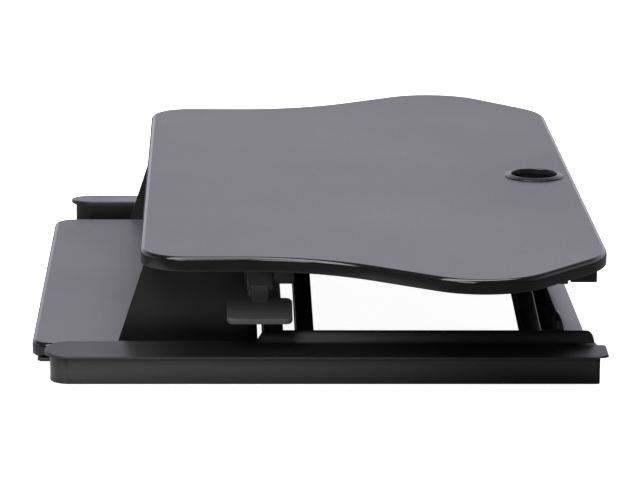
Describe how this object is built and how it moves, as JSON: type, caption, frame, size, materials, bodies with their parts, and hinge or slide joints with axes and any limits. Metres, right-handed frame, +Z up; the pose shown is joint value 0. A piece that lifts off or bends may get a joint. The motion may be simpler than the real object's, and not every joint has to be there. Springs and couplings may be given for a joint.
{
  "type": "standing desk converter",
  "caption": "Black desktop sit-stand riser: shaped worktop with cable grommet and a lower keyboard tray on a transverse scissor lift with squeeze levers.",
  "frame": {"origin": "bottom centre of the whole object with the lift lowered, on the desk surface", "axes": "+X to the right across the desk, +Y from the user towards the back, +Z up"},
  "size_m": [1.0356, 0.638, 0.1506],
  "materials": {
    "black_paint": "satin black powder coat",
    "cover_plastic": "fine textured black plastic",
    "lever_plastic": "moulded dark grey plastic",
    "black_steel": "black oxide",
    "steel": "zinc plated",
    "rod_chrome": "hard chrome",
    "rubber": "matte rubber",
    "nylon": "natural nylon",
    "cable_jacket": "black jacket",
    "laminate": "black fine grained laminate on particle board",
    "edge_band": "glossy black edge band",
    "grommet_plastic": "moulded grey-black plastic"
  },
  "bodies": {
    "base": {"left_foot_channel": "black_paint", "right_foot_channel": "black_paint", "left_foot_cover": "cover_plastic", "right_foot_cover": "cover_plastic", "foot_pads": "rubber", "front_base_beam": "black_paint", "rear_base_beam": "black_paint", "front_hinge_bracket": "black_paint", "rear_hinge_bracket": "black_paint", "lower_pivot_pins": "black_steel", "base_screws": "black_steel"},
    "inner_arms": {"front_inner_arm": "black_paint", "rear_inner_arm": "black_paint", "center_tube": "black_paint", "center_tube_caps": "cable_jacket", "inner_arm_stretcher": "black_paint", "inner_arm_bushes": "nylon", "upper_slide_pins": "steel"},
    "outer_arms": {"front_outer_arm": "black_paint", "rear_outer_arm": "black_paint", "outer_arm_stretcher": "black_paint", "outer_arm_bushes": "nylon", "lower_slide_pins": "steel"},
    "lower_slides": {"front_lower_slide": "nylon", "rear_lower_slide": "nylon"},
    "carriage": {"front_upper_slide": "nylon", "rear_upper_slide": "nylon", "spring_carriage": "black_paint", "front_gas_cylinder": "black_paint", "rear_gas_cylinder": "black_paint"},
    "table": {"worktop_board": "laminate", "worktop_edge_band": "edge_band", "cable_grommet": "grommet_plastic", "front_upper_track": "black_paint", "rear_upper_track": "black_paint", "front_top_bracket": "black_paint", "rear_top_bracket": "black_paint", "upper_pivot_pins": "steel", "left_hanger_plate": "black_paint", "right_hanger_plate": "black_paint", "keyboard_tray": "laminate", "tray_edge_band": "edge_band", "left_tray_runner": "rubber", "right_tray_runner": "rubber", "spring_anchor": "black_paint", "front_gas_rod": "rod_chrome", "rear_gas_rod": "rod_chrome", "gas_rod_nuts": "steel", "left_lever_housing": "cover_plastic", "right_lever_housing": "cover_plastic", "lever_pins": "black_steel", "lever_springs": "steel", "left_release_cable": "cable_jacket", "right_release_cable": "cable_jacket", "worktop_screws": "steel"},
    "left_lever": {"left_lever": "lever_plastic"},
    "right_lever": {"right_lever": "lever_plastic"},
    "left_release_bar": {"left_release_bar": "nylon"},
    "right_release_bar": {"right_release_bar": "nylon"}
  },
  "joints": [
    {"name": "lift", "type": "hinge", "parent": "base", "child": "inner_arms", "pos_m": [0.33, 0, 0.025], "axis": [0, 1, 0], "range_deg": [0, 34.5]},
    {"name": "scissor_center", "type": "hinge", "parent": "inner_arms", "child": "outer_arms", "pos_m": [0, 0, 0.07], "axis": [0, 1, 0], "range_deg": [-69, 0]},
    {"name": "top_pivot", "type": "hinge", "parent": "outer_arms", "child": "table", "pos_m": [0.33, 0, 0.115], "axis": [0, 1, 0], "range_deg": [0, 34.5]},
    {"name": "lower_slide_pivot", "type": "hinge", "parent": "outer_arms", "child": "lower_slides", "pos_m": [-0.33, 0, 0.025], "axis": [0, 1, 0], "range_deg": [0, 34.5]},
    {"name": "upper_slide_pivot", "type": "hinge", "parent": "inner_arms", "child": "carriage", "pos_m": [-0.33, 0, 0.115], "axis": [0, 1, 0], "range_deg": [-34.5, 0]},
    {"name": "right_lever_squeeze", "type": "hinge", "parent": "table", "child": "right_lever", "pos_m": [0.368, -0.065, 0.113], "axis": [0, -1, 0], "range_deg": [0, 12], "stiffness_Nm_per_rad": 0.6},
    {"name": "left_lever_squeeze", "type": "hinge", "parent": "table", "child": "left_lever", "pos_m": [-0.368, -0.065, 0.113], "axis": [0, 1, 0], "range_deg": [0, 12], "stiffness_Nm_per_rad": 0.6},
    {"name": "right_release", "type": "slide", "parent": "table", "child": "right_release_bar", "axis": [1, 0, 0], "range_m": [0, 0.0025]},
    {"name": "left_release", "type": "slide", "parent": "table", "child": "left_release_bar", "axis": [1, 0, 0], "range_m": [0, 0.0025]}
  ],
  "couplings": [
    {"joint": "scissor_center", "follows": "lift", "ratio": -2},
    {"joint": "top_pivot", "follows": "lift", "ratio": 1},
    {"joint": "lower_slide_pivot", "follows": "lift", "ratio": 1},
    {"joint": "upper_slide_pivot", "follows": "lift", "ratio": -1},
    {"joint": "right_release", "follows": "right_lever_squeeze", "m_per_rad": 0.01188},
    {"joint": "left_release", "follows": "left_lever_squeeze", "m_per_rad": 0.01188}
  ]
}
